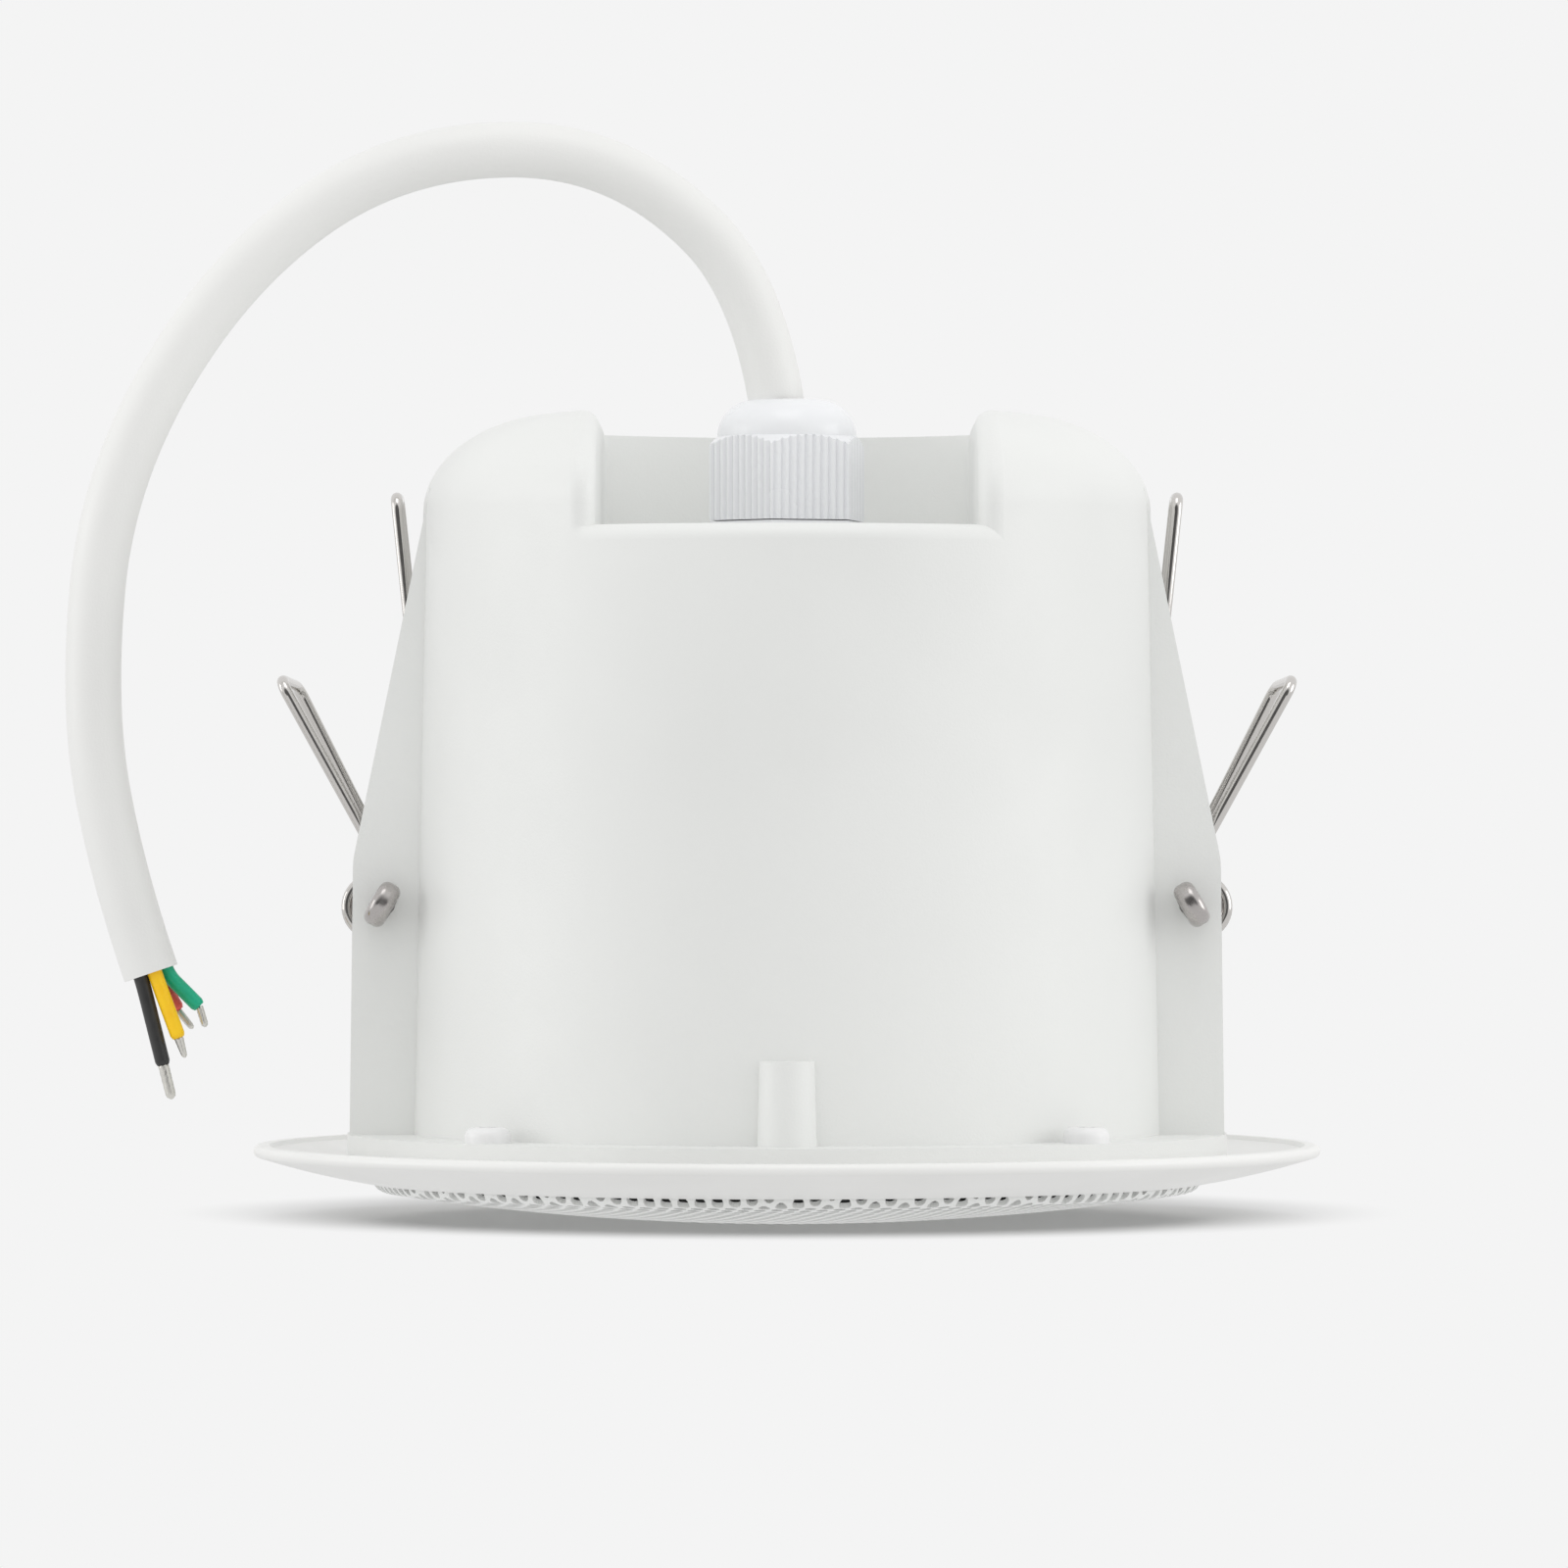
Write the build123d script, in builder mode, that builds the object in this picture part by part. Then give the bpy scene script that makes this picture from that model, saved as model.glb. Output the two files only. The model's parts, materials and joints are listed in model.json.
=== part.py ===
from build123d import *
import math
import os

# In-ceiling loudspeaker with a moulded back can, two sprung clips and a cable in a gland.
# Millimetres. The origin is the middle of the ceiling face of the bezel rim, +Z points up
# into the ceiling void and -Y points at the front of the can.

# Bezel
bezel_r = 90.0
bezel_trim_w = 15.0
bezel_rim_t = 2.0
bezel_land_w = 1.6
bezel_drop = 6.4
bezel_bulge = 0.35
bezel_seat_z = -3.6
bezel_bore_inset = 1.6
bezel_lip_z = -6.0
groove_wall_t = 1.2
dish_lip_w = 0.6
dish_lip_h = 0.7

# Grille
grille_sheet_t = 0.9
grille_edge_drop = 7.6
grille_dome_r = 450.0
grille_edge_r = 2.4
grille_wall_top_z = -5.2
grille_gap = 0.3
grille_hole_d = 8.0
grille_hole_pitch = 12.4
grille_margin_w = 9.0

# Back can
can_top_z = 123.0
can_draft_w = 2.0
can_shoulder_w = 23.0
can_shoulder_h = 16.5
can_wall_t = 2.5
ring_seat_clearance = 0.8
ring_edge_w = 5.0
ring_top_z = 1.9
ring_plate_t = 2.6
ring_skirt_t = 1.8
ring_gasket_t = 0.8
pocket_half_w = 31.3
pocket_depth = 20.0
pocket_back_w = 12.9
pocket_round = 2.6
boss_stand_out = 0.6
boss_foot_r = 4.9
boss_draft_w = 0.4
boss_top_z = 15.7
boss_pilot_depth = 12.0

# Clip brackets on the sides of the can
cheek_t = 2.4
cheek_foot_inset = 0.8
cheek_rake = 0.6
cheek_knee_z = 48.0
cheek_knee_r = 15.0
cheek_top_sink = 1.5
cheek_top_drop = 12.6

# Split pins, springs and clip arms
pin_inset = 5.1
pin_drop = 7.4
pin_r = 1.75
pin_hole_clearance = 0.2
pin_eye_bore_r = 1.7
pin_eye_wall_t = 2.2
pin_eye_margin = 0.1
pin_eye_round = 1.4
pin_eye_lean = 30.0
pin_play = 0.4
pin_tail_step = 1.0
pin_tail_l = 9.0
pin_tail_spread = 35.0
wire_r = 1.0
coil_outer_r = 5.8
coil_turns = 4
coil_lap = 0.95
coil_drop_x = 1.6
coil_drop_z = 0.5
bail_kink_gap = 1.8
bail_leg_h = 43.4
bail_tip_gap = 4.4
bail_tip_h = 25.0
bail_kink_r = 12.0
wire_bend_r = 2.6
arm_fit = 0.08
arm_side_gap = 0.35
arm_lean = 28.9
arm_l = 41.5
arm_rear_step = 1.5
arm_rear_short = 2.0
hook_sweep = 270.0

# Screws
bezel_screw_r = 1.95
bezel_screw_head_r = 3.8
bezel_screw_head_h = 2.6
bezel_screw_l = 6.2
bezel_post_r = 3.0
bezel_post_gap = 0.2
driver_screw_r = 1.5
driver_screw_head_r = 3.1
driver_screw_head_h = 2.0
driver_screw_l = 13.0
screw_head_gap = 0.5
screw_count = 4
screw_clearance = 0.25
screw_bite_clearance = 0.05
drive_slot_w = 0.9
drive_slot_depth = 1.1

# Cable gland
gland_flats = 24.0
gland_turn = 19.0
gland_flange_t = 2.0
gland_nut_gap = 0.2
gland_nut_h = 14.2
gland_dome_h = 6.3
gland_dome_inset = 0.2
gland_mouth_clearance = 0.6
gland_nut_chamfer = 1.6
gland_flutes_per_flat = 10
gland_flute_depth = 0.45
gland_shoulder_w = 2.1
gland_thread_l = 11.5
gland_seal_t = 1.9
gland_neck_step = 0.9
gland_neck_h = 10.5
gland_seal_l = 8.0
gland_sides = 6
gland_hole_clearance = 0.2
locknut_extra_w = 2.0
locknut_h = 5.0

# Cable
cable_d = 9.4
cable_fit = 0.05
cable_route = [
    (0.0, 0.0, 100.4),
    (0.0, 0.0, 139.6),
    (-27.5, -1.0, 167.9),
    (-64.8, -4.0, 167.7),
    (-93.3, -8.5, 147.5),
    (-113.8, -13.0, 112.4),
    (-117.0, -15.5, 74.2),
    (-112.1, -16.0, 46.1),
    (-106.3, -16.0, 29.1),
]
core_d = 2.3
core_ring_r = 2.6
core_lead_in = 1.2
tin_d = 1.6
# Each core: name, angle round the cable's end face, sideways fan, length, tinned length
cores = [
    ("black", 130.0, -4.8, 15.2, 5.9),
    ("yellow", 72.0, 1.5, 11.7, 3.5),
    ("red", -70.0, 11.0, 7.4, 4.0),
    ("green", 0.0, 26.0, 8.6, 3.6),
]

# Driver
gasket_t = 0.8
flange_inset = 0.8
flange_w = 5.6
flange_t = 1.2
ear_r = 4.3
basket_t = 1.2
basket_step_z = 30.0
basket_step_r = 34.0
basket_ledge_w = 4.0
basket_back_z = 36.0
window_count = 4
window_w = 34.0
window_h = 20.0
plate_t = 5.0
plate_r = 36.0
magnet_r = 40.0
magnet_t = 15.0
back_plate_t = 5.0
pole_r = 12.0
magnet_gap = 2.0
former_t = 0.3
former_play = 0.5
winding_t = 0.7
winding_l = 8.0
former_foot_z = 22.0
surround_w = 11.0
cone_t = 0.8
glue_gap = 0.1
surround_t = 0.8
surround_lip_w = 2.0
cap_rise = 5.0
cap_t = 0.6
cap_rim_w = 3.0
spider_t = 0.7
spider_waves = 4
spider_wave_h = 1.6
spider_rim_gap = 1.2
magnet_bore_step = 3.0
magnet_chamfer = 1.0
strip_w = 16.0
strip_l = 13.0
strip_t = 1.6

# Line transformer on the back of the magnet
core_w = 32.0
core_depth = 16.0
core_h = 18.0
core_limb_w = 5.0
core_middle_w = 10.0
bobbin_overhang = 6.0
bobbin_clearance = 0.3
lead_d = 1.8
lead_ring = 1.6
lead_drop = 1.5

# Worked-out radii, from the bezel's edge inwards
bezel_seat_r = bezel_r - bezel_trim_w
ring_r = bezel_seat_r - ring_seat_clearance
bezel_screw_ring_r = ring_r - ring_edge_w
bezel_bore_r = bezel_screw_ring_r - bezel_bore_inset
groove_in_r = bezel_bore_r + groove_wall_t
grille_r = groove_in_r + grille_gap + grille_sheet_t
groove_out_r = grille_r + grille_gap
grille_dome_h = grille_edge_drop + grille_dome_r - math.sqrt(grille_dome_r**2 - grille_r**2)
grille_hole_field_r = grille_r - grille_margin_w
boss_ring_r = bezel_bore_r - driver_screw_head_r - screw_head_gap
boss_tip_r = boss_foot_r - boss_draft_w
can_base_r = boss_ring_r - boss_stand_out
can_top_r = can_base_r - can_draft_w
pocket_back_r = can_top_r - pocket_back_w
flange_r = can_base_r - flange_inset
basket_mouth_r = flange_r - flange_w
cone_mouth_r = basket_mouth_r - surround_w
cheek_foot_x = ring_r - cheek_foot_inset
cheek_knee_x = cheek_foot_x - cheek_rake
cheek_top_x = can_top_r - cheek_top_sink
pin_x = cheek_knee_x - pin_inset
pin_eye_r = pin_eye_bore_r + pin_eye_wall_t
pin_eye_w = 2 * (pin_r + pin_eye_margin)
pin_tail_r = pin_r - pin_tail_step
bail_kink_x = can_top_r + bail_kink_gap
bail_tip_x = can_top_r + bail_tip_gap
gland_dome_r = gland_flats / 2 - gland_dome_inset
gland_thread_r = gland_flats / 2 - gland_shoulder_w
gland_neck_r = gland_thread_r - gland_neck_step
cable_r = cable_d / 2
gland_bore_r = cable_r + gland_seal_t
locknut_flats = gland_flats + locknut_extra_w

# Worked-out heights and places
pocket_floor_z = can_top_z - pocket_depth
cheek_top_z = can_top_z - cheek_top_drop
pin_z = cheek_knee_z - pin_drop
bail_kink_z = pin_z + bail_leg_h
bail_tip_z = bail_kink_z + bail_tip_h
flange_top = pocket_floor_z + gland_flange_t
nut_foot_z = flange_top + gland_nut_gap
gland_nut_top_z = nut_foot_z + gland_nut_h
gland_dome_top_z = gland_nut_top_z + gland_dome_h
gland_neck_top_z = flange_top + gland_neck_h
lead_turn_z = pocket_floor_z - gland_thread_l - lead_drop
ring_under_z = ring_top_z - ring_plate_t
skirt_bottom_z = bezel_seat_z + ring_gasket_t
can_inner_top_z = can_top_z - can_wall_t
can_inner_base_r = can_base_r - can_wall_t
can_inner_top_r = can_top_r - can_wall_t
can_corner_z = can_top_z - can_shoulder_h
coil_pitch = 2 * wire_r * coil_lap
coil_leg_y = coil_pitch * (coil_turns + 1) / 2
arm_leg_y = coil_leg_y + 2 * wire_r + arm_side_gap
cheek_in_y = arm_leg_y + wire_r + arm_side_gap
cheek_out_y = cheek_in_y + cheek_t
flange_top_z = ring_under_z - gasket_t
flange_bottom_z = flange_top_z - flange_t
plate_top_z = basket_back_z + plate_t
magnet_top_z = plate_top_z + magnet_t
yoke_top_z = magnet_top_z + back_plate_t
plate_bore_r = pole_r + magnet_gap
former_r = pole_r + former_play
floor_under_z = pocket_floor_z - can_wall_t

os.makedirs("parts", exist_ok=True)


def finish(piece, name):
    piece.part.label = name
    export_step(piece.part, "parts/" + name + ".step")


def hex_corner_r(flats):
    return flats / 2 / math.cos(math.pi / gland_sides)


# Back can: the outer form, its pocket and its cavity
def pocket_outline(grow):
    with BuildSketch(Plane.XY.offset(pocket_floor_z - grow)) as outline:
        Circle(pocket_back_r + grow)
        Rectangle(2 * (pocket_half_w + grow), 4 * ring_r, mode=Mode.INTERSECT)
        Rectangle(2 * (pocket_half_w + grow), 2 * ring_r, align=(Align.CENTER, Align.MAX))
    return outline.sketch


with BuildPart() as cavity:
    with BuildSketch(Plane.XZ) as cavity_section:
        with BuildLine():
            shoulder_x = can_top_r - can_shoulder_w
            inner_w = can_shoulder_w - can_wall_t
            inner_h = can_shoulder_h - can_wall_t
            Polyline((0, ring_under_z - ring_r), (can_inner_base_r, ring_under_z - ring_r))
            Line((can_inner_base_r, ring_under_z - ring_r), (can_inner_base_r, ring_top_z))
            Line((can_inner_base_r, ring_top_z), (can_inner_top_r, can_corner_z))
            EllipticalCenterArc((shoulder_x, can_corner_z), inner_w, inner_h, arc_size=90)
            Line((shoulder_x, can_inner_top_z), (0, can_inner_top_z))
            Line((0, can_inner_top_z), (0, ring_under_z - ring_r))
        make_face()
    revolve(axis=Axis.Z)
    extrude(pocket_outline(can_wall_t), amount=can_top_z, mode=Mode.SUBTRACT)

# Clip brackets: one cheek, mirrored to four
with BuildPart() as cheeks:
    with BuildSketch(Plane.XZ.offset(cheek_in_y)) as cheek_outline:
        with BuildLine():
            Polyline(
                (can_inner_top_r, ring_under_z),
                (cheek_foot_x, ring_under_z),
                (cheek_knee_x, cheek_knee_z),
                (cheek_top_x, cheek_top_z),
                (can_inner_top_r, cheek_top_z),
                close=True,
            )
        make_face()
        knee = cheek_outline.vertices().sort_by_distance((cheek_knee_x, cheek_knee_z))[0]
        fillet(knee, cheek_knee_r)
        with Locations((pin_x, pin_z)):
            Circle(pin_r + pin_hole_clearance, mode=Mode.SUBTRACT)
    extrude(amount=cheek_t)
    mirror(about=Plane.XZ)
    mirror(about=Plane.YZ)

# Back can: outer form, pocket, brackets and bosses, then the cavity and the holes
with BuildPart() as back_can:
    with BuildSketch(Plane.XZ) as can_section:
        with BuildLine():
            Polyline(
                (0, ring_under_z),
                (ring_r - ring_skirt_t, ring_under_z),
                (ring_r - ring_skirt_t, skirt_bottom_z),
                (ring_r, skirt_bottom_z),
                (ring_r, ring_top_z),
                (can_base_r, ring_top_z),
                (can_top_r, can_corner_z),
            )
            EllipticalCenterArc((shoulder_x, can_corner_z), can_shoulder_w, can_shoulder_h, arc_size=90)
            Polyline((shoulder_x, can_top_z), (0, can_top_z), (0, ring_under_z))
        make_face()
    revolve(axis=Axis.Z)
    extrude(pocket_outline(0), amount=can_top_z, mode=Mode.SUBTRACT)
    mouth_edges = back_can.edges().filter_by(
        lambda e: e.center().Z > pocket_floor_z - can_wall_t
        and e.center().Y < can_wall_t
        and abs(e.center().X) < pocket_half_w + can_wall_t
        and not (e.geom_type == GeomType.LINE and e.center().Z < can_corner_z)
    )
    fillet(mouth_edges, pocket_round)
    add(cheeks.part)
    with BuildSketch(Plane.XY.offset(ring_under_z)):
        with PolarLocations(boss_ring_r, screw_count):
            Circle(boss_foot_r)
    boss_h = boss_top_z - ring_under_z
    extrude(amount=boss_h, taper=math.degrees(math.atan2(boss_foot_r - boss_tip_r, boss_h)))
    add(cavity.part, mode=Mode.SUBTRACT)
    with BuildSketch(Plane.XY.offset(ring_under_z)):
        with PolarLocations(boss_ring_r, screw_count):
            Circle(driver_screw_r + screw_bite_clearance)
    extrude(amount=boss_pilot_depth, mode=Mode.SUBTRACT)
    with BuildSketch(Plane.XY.offset(ring_under_z)):
        with PolarLocations(bezel_screw_ring_r, screw_count, start_angle=180 / screw_count):
            Circle(bezel_screw_r + screw_clearance)
    extrude(amount=ring_plate_t, mode=Mode.SUBTRACT)
    with BuildSketch(Plane.XY.offset(floor_under_z)):
        Circle(gland_thread_r + gland_hole_clearance)
    extrude(amount=can_wall_t, mode=Mode.SUBTRACT)

finish(back_can, "back_can")

# Bezel: a dished trim ring with a full-round rim, a seat for the can and a groove for the grille
rim_r = bezel_rim_t / 2
rim_x = bezel_r - rim_r
groove_top_z = grille_wall_top_z + grille_gap
skin_slope = math.atan2(bezel_drop - bezel_rim_t, rim_x - groove_out_r)
skin_start = (rim_x + rim_r * math.sin(skin_slope), -rim_r - rim_r * math.cos(skin_slope))
skin_mid = ((skin_start[0] + groove_out_r) / 2, (skin_start[1] - bezel_drop) / 2 - bezel_bulge)
with BuildPart() as bezel:
    with BuildSketch(Plane.XZ):
        with BuildLine():
            Line((rim_x - bezel_land_w, 0), (rim_x, 0))
            ThreePointArc((rim_x, 0), (bezel_r, -rim_r), skin_start)
            ThreePointArc(skin_start, skin_mid, (groove_out_r, -bezel_drop))
            Polyline(
                (groove_out_r, -bezel_drop),
                (groove_out_r, groove_top_z),
                (groove_in_r, groove_top_z),
                (groove_in_r, bezel_lip_z),
                (bezel_bore_r, bezel_lip_z),
                (bezel_bore_r, bezel_seat_z),
                (bezel_seat_r, bezel_seat_z),
                (rim_x - bezel_land_w - dish_lip_w, -dish_lip_h),
                (rim_x - bezel_land_w, 0),
            )
        make_face()
    revolve(axis=Axis.Z)
    with BuildSketch(Plane.XY.offset(bezel_seat_z)):
        with PolarLocations(bezel_screw_ring_r, screw_count, start_angle=180 / screw_count):
            Circle(bezel_post_r)
    extrude(amount=ring_under_z - bezel_post_gap - bezel_seat_z)
    with BuildSketch(Plane.XY.offset(ring_top_z - bezel_screw_l - bezel_post_gap)):
        with PolarLocations(bezel_screw_ring_r, screw_count, start_angle=180 / screw_count):
            Circle(bezel_screw_r + screw_bite_clearance)
    extrude(amount=bezel_screw_l, mode=Mode.SUBTRACT)
finish(bezel, "bezel")

# Foam ring between the can's skirt and the bezel's seat
with BuildPart() as ring_gasket:
    with BuildSketch(Plane.XY.offset(bezel_seat_z)):
        Circle(ring_r)
        Circle(ring_r - ring_skirt_t, mode=Mode.SUBTRACT)
    extrude(amount=ring_gasket_t)
finish(ring_gasket, "ring_gasket")


# Grille: a domed perforated sheet with a turned-up wall
def dome_z(r, sheet):
    return sheet - grille_dome_h + grille_dome_r - math.sqrt(grille_dome_r**2 - r**2)


def hole_places():
    rows = int(grille_hole_field_r / grille_hole_pitch) + 1
    places = []
    for row in range(-rows, rows + 1):
        for column in range(-rows - 1, rows + 2):
            x = (column + 0.5 * (row % 2)) * grille_hole_pitch
            y = row * grille_hole_pitch * math.sqrt(3) / 2
            if math.hypot(x, y) < grille_hole_field_r:
                places.append((x, y))
    return places


grille_in_r = grille_r - grille_sheet_t
with BuildPart() as grille:
    with BuildSketch(Plane.XZ) as grille_section:
        with BuildLine():
            half_r = grille_r / 2
            Line((grille_r, grille_wall_top_z), (grille_r, dome_z(grille_r, 0)))
            ThreePointArc((grille_r, dome_z(grille_r, 0)), (half_r, dome_z(half_r, 0)), (0, dome_z(0, 0)))
            Line((0, dome_z(0, 0)), (0, dome_z(0, grille_sheet_t)))
            ThreePointArc(
                (0, dome_z(0, grille_sheet_t)),
                (half_r, dome_z(half_r, grille_sheet_t)),
                (grille_in_r, dome_z(grille_in_r, grille_sheet_t)),
            )
            Polyline(
                (grille_in_r, dome_z(grille_in_r, grille_sheet_t)),
                (grille_in_r, grille_wall_top_z),
                (grille_r, grille_wall_top_z),
            )
        make_face()
        outer_corner = grille_section.vertices().sort_by_distance((grille_r, dome_z(grille_r, 0)))[0]
        fillet(outer_corner, grille_edge_r)
        inner_place = (grille_in_r, dome_z(grille_in_r, grille_sheet_t))
        inner_corner_point = grille_section.vertices().sort_by_distance(inner_place)[0]
        fillet(inner_corner_point, grille_edge_r - grille_sheet_t)
    revolve(axis=Axis.Z)
    with BuildSketch(Plane.XY.offset(-grille_dome_h - grille_sheet_t)):
        with Locations(*hole_places()):
            Circle(grille_hole_d / 2)
    extrude(amount=grille_dome_h, mode=Mode.SUBTRACT)
finish(grille, "grille")

# Pan-head screws that hold the bezel to the can
with BuildPart() as bezel_screws:
    with BuildSketch(Plane.XY.offset(ring_top_z)):
        with PolarLocations(bezel_screw_ring_r, screw_count, start_angle=180 / screw_count):
            Circle(bezel_screw_head_r)
    extrude(amount=bezel_screw_head_h)
    fillet(bezel_screws.edges().group_by(Axis.Z)[-1], bezel_screw_head_h * 0.6)
    with BuildSketch(Plane.XY.offset(ring_top_z)):
        with PolarLocations(bezel_screw_ring_r, screw_count, start_angle=180 / screw_count):
            Circle(bezel_screw_r)
    extrude(amount=-bezel_screw_l)
    with BuildSketch(Plane.XY.offset(ring_top_z + bezel_screw_head_h)):
        with PolarLocations(bezel_screw_ring_r, screw_count, start_angle=180 / screw_count):
            Rectangle(bezel_screw_head_r, drive_slot_w)
            Rectangle(drive_slot_w, bezel_screw_head_r)
    extrude(amount=-drive_slot_depth, mode=Mode.SUBTRACT)
finish(bezel_screws, "bezel_screws")

# Screws that hold the driver to the can's bosses
with BuildPart() as driver_screws:
    with BuildSketch(Plane.XY.offset(flange_bottom_z)):
        with PolarLocations(boss_ring_r, screw_count):
            Circle(driver_screw_head_r)
    extrude(amount=-driver_screw_head_h)
    fillet(driver_screws.edges().group_by(Axis.Z)[0], driver_screw_head_h * 0.6)
    with BuildSketch(Plane.XY.offset(flange_bottom_z)):
        with PolarLocations(boss_ring_r, screw_count):
            Circle(driver_screw_r)
    extrude(amount=driver_screw_l)
    with BuildSketch(Plane.XY.offset(flange_bottom_z - driver_screw_head_h)):
        with PolarLocations(boss_ring_r, screw_count):
            Rectangle(driver_screw_head_r, drive_slot_w)
            Rectangle(drive_slot_w, driver_screw_head_r)
    extrude(amount=drive_slot_depth, mode=Mode.SUBTRACT)
finish(driver_screws, "driver_screws")


# Split pins, springs and arms, made for the +X side and mirrored to the other
def wire_along(path, radius):
    with BuildSketch(Plane(origin=path @ 0, z_dir=path % 0)) as section:
        Circle(radius)
    return section.sketch


pin_eye_y = cheek_out_y + pin_play + pin_eye_r
shank_start_y = pin_eye_y - (pin_eye_r + pin_eye_bore_r) / 2
tail_knee_y = cheek_out_y + pin_play + pin_r
lean_turn = math.radians(pin_eye_lean)
for side, name in ((1, "hinge_pin_right"), (-1, "hinge_pin_left")):
    with BuildPart() as hinge_pin:
        with BuildSketch(Plane.XZ.offset(shank_start_y)):
            with Locations((side * pin_x, pin_z)):
                Circle(pin_r)
        extrude(amount=-shank_start_y - cheek_out_y - pin_play)
        eye_axis = (side * math.cos(lean_turn), 0, math.sin(lean_turn))
        with BuildSketch(Plane(origin=(side * pin_x, -pin_eye_y, pin_z), x_dir=(0, 1, 0), z_dir=eye_axis)):
            Circle(pin_eye_r)
            Circle(pin_eye_bore_r, mode=Mode.SUBTRACT)
        extrude(amount=pin_eye_w / 2, both=True)
        eye_edges = hinge_pin.edges().filter_by(GeomType.CIRCLE)
        fillet(eye_edges.filter_by(lambda edge: edge.radius == pin_eye_r), pin_eye_round)
        for spread in (pin_tail_spread, -pin_tail_spread):
            tail_turn = math.radians(spread)
            tail_z = pin_z + math.copysign(pin_r / 2, spread)
            with BuildLine(Plane.YZ.offset(side * pin_x)) as tail:
                FilletPolyline(
                    (cheek_out_y, tail_z),
                    (tail_knee_y, tail_z),
                    (
                        tail_knee_y + pin_tail_l * math.cos(tail_turn),
                        tail_z + pin_tail_l * math.sin(tail_turn),
                    ),
                    radius=pin_r,
                )
            sweep(sections=wire_along(tail.wires()[0], pin_tail_r), path=tail.wires()[0])
    finish(hinge_pin, name)


def tangent_lean(x, z, radius, target):
    reach = math.hypot(target[0] - x, target[1] - z)
    return math.degrees(math.asin(radius / reach) - math.atan2(x - target[0], target[1] - z))


def tangent_point(x, z, radius, lean):
    turn = math.radians(lean)
    return (x - radius * math.cos(turn), z + radius * math.sin(turn))


# Torsion spring: close-wound turns, and a long bail that leans on the can and kicks out at its tip
coil_r = coil_outer_r - wire_r
coil_x = pin_x + coil_drop_x
coil_z = pin_z - coil_drop_z
bail_kink = (bail_kink_x, bail_kink_z)
bail_lean = tangent_lean(coil_x, coil_z, coil_r, bail_kink)
bail_foot = tangent_point(coil_x, coil_z, coil_r, bail_lean)
with BuildPart() as clip_spring_right:
    with BuildSketch(Plane.XY.offset(coil_z)):
        with Locations((coil_x + coil_r, 0)):
            with GridLocations(0, coil_pitch, 1, coil_turns):
                Circle(wire_r)
    revolve(axis=Axis((coil_x, 0, coil_z), (0, 1, 0)))
    with BuildLine(Plane.XZ) as bail:
        CenterArc((coil_x, coil_z, coil_leg_y), coil_r, 180 - bail_lean, hook_sweep)
        FilletPolyline(
            (*bail_foot, coil_leg_y),
            (*bail_kink, coil_leg_y),
            (bail_tip_x, bail_tip_z, coil_leg_y),
            (bail_tip_x, bail_tip_z, -coil_leg_y),
            (*bail_kink, -coil_leg_y),
            (*bail_foot, -coil_leg_y),
            radius=[bail_kink_r, wire_bend_r, wire_bend_r, bail_kink_r],
        )
        CenterArc((coil_x, coil_z, -coil_leg_y), coil_r, 180 - bail_lean, hook_sweep)
    sweep(sections=wire_along(bail.wires()[0], wire_r), path=bail.wires()[0])
finish(clip_spring_right, "clip_spring_right")

# Clip arm: a short wire bail hooked on the split pin, its rear leg a little shorter and further in
hook_r = pin_r + arm_fit + wire_r
arm_turn = math.radians(arm_lean)
arm_foot = tangent_point(pin_x, pin_z, hook_r, arm_lean)
arm_tip = (arm_foot[0] + arm_l * math.sin(arm_turn), arm_foot[1] + arm_l * math.cos(arm_turn))
rear_tip = (
    arm_tip[0] - arm_rear_short * math.sin(arm_turn) - arm_rear_step * math.cos(arm_turn),
    arm_tip[1] - arm_rear_short * math.cos(arm_turn) + arm_rear_step * math.sin(arm_turn),
)
rear_lean = tangent_lean(pin_x, pin_z, hook_r, rear_tip)
rear_foot = tangent_point(pin_x, pin_z, hook_r, rear_lean)
with BuildPart() as clip_arm_right:
    with BuildLine(Plane.XZ) as arm:
        CenterArc((pin_x, pin_z, arm_leg_y), hook_r, 180 - arm_lean, hook_sweep)
        FilletPolyline(
            (*arm_foot, arm_leg_y),
            (*arm_tip, arm_leg_y),
            (*rear_tip, -arm_leg_y),
            (*rear_foot, -arm_leg_y),
            radius=wire_bend_r,
        )
        CenterArc((pin_x, pin_z, -arm_leg_y), hook_r, 180 - rear_lean, hook_sweep)
    sweep(sections=wire_along(arm.wires()[0], wire_r), path=arm.wires()[0])
finish(clip_arm_right, "clip_arm_right")

with BuildPart() as clip_spring_left:
    mirror(clip_spring_right.part, about=Plane.YZ)
finish(clip_spring_left, "clip_spring_left")

with BuildPart() as clip_arm_left:
    mirror(clip_arm_right.part, about=Plane.YZ)
finish(clip_arm_left, "clip_arm_left")


# Cable gland: body through the pocket floor, seal, fluted cap nut and locknut
with BuildPart() as gland_body:
    with BuildSketch(Plane.XY.offset(pocket_floor_z)):
        RegularPolygon(hex_corner_r(gland_flats), gland_sides, rotation=gland_turn)
    extrude(amount=gland_flange_t)
    with BuildSketch(Plane.XY.offset(pocket_floor_z - gland_thread_l)):
        Circle(gland_thread_r)
    extrude(amount=gland_thread_l)
    with BuildSketch(Plane.XY.offset(flange_top)):
        Circle(gland_neck_r)
    extrude(amount=gland_neck_top_z - flange_top)
    with BuildSketch(Plane.XY.offset(pocket_floor_z - gland_thread_l)):
        Circle(gland_bore_r)
    extrude(amount=gland_neck_top_z - pocket_floor_z + gland_thread_l, mode=Mode.SUBTRACT)
finish(gland_body, "gland_body")

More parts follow.
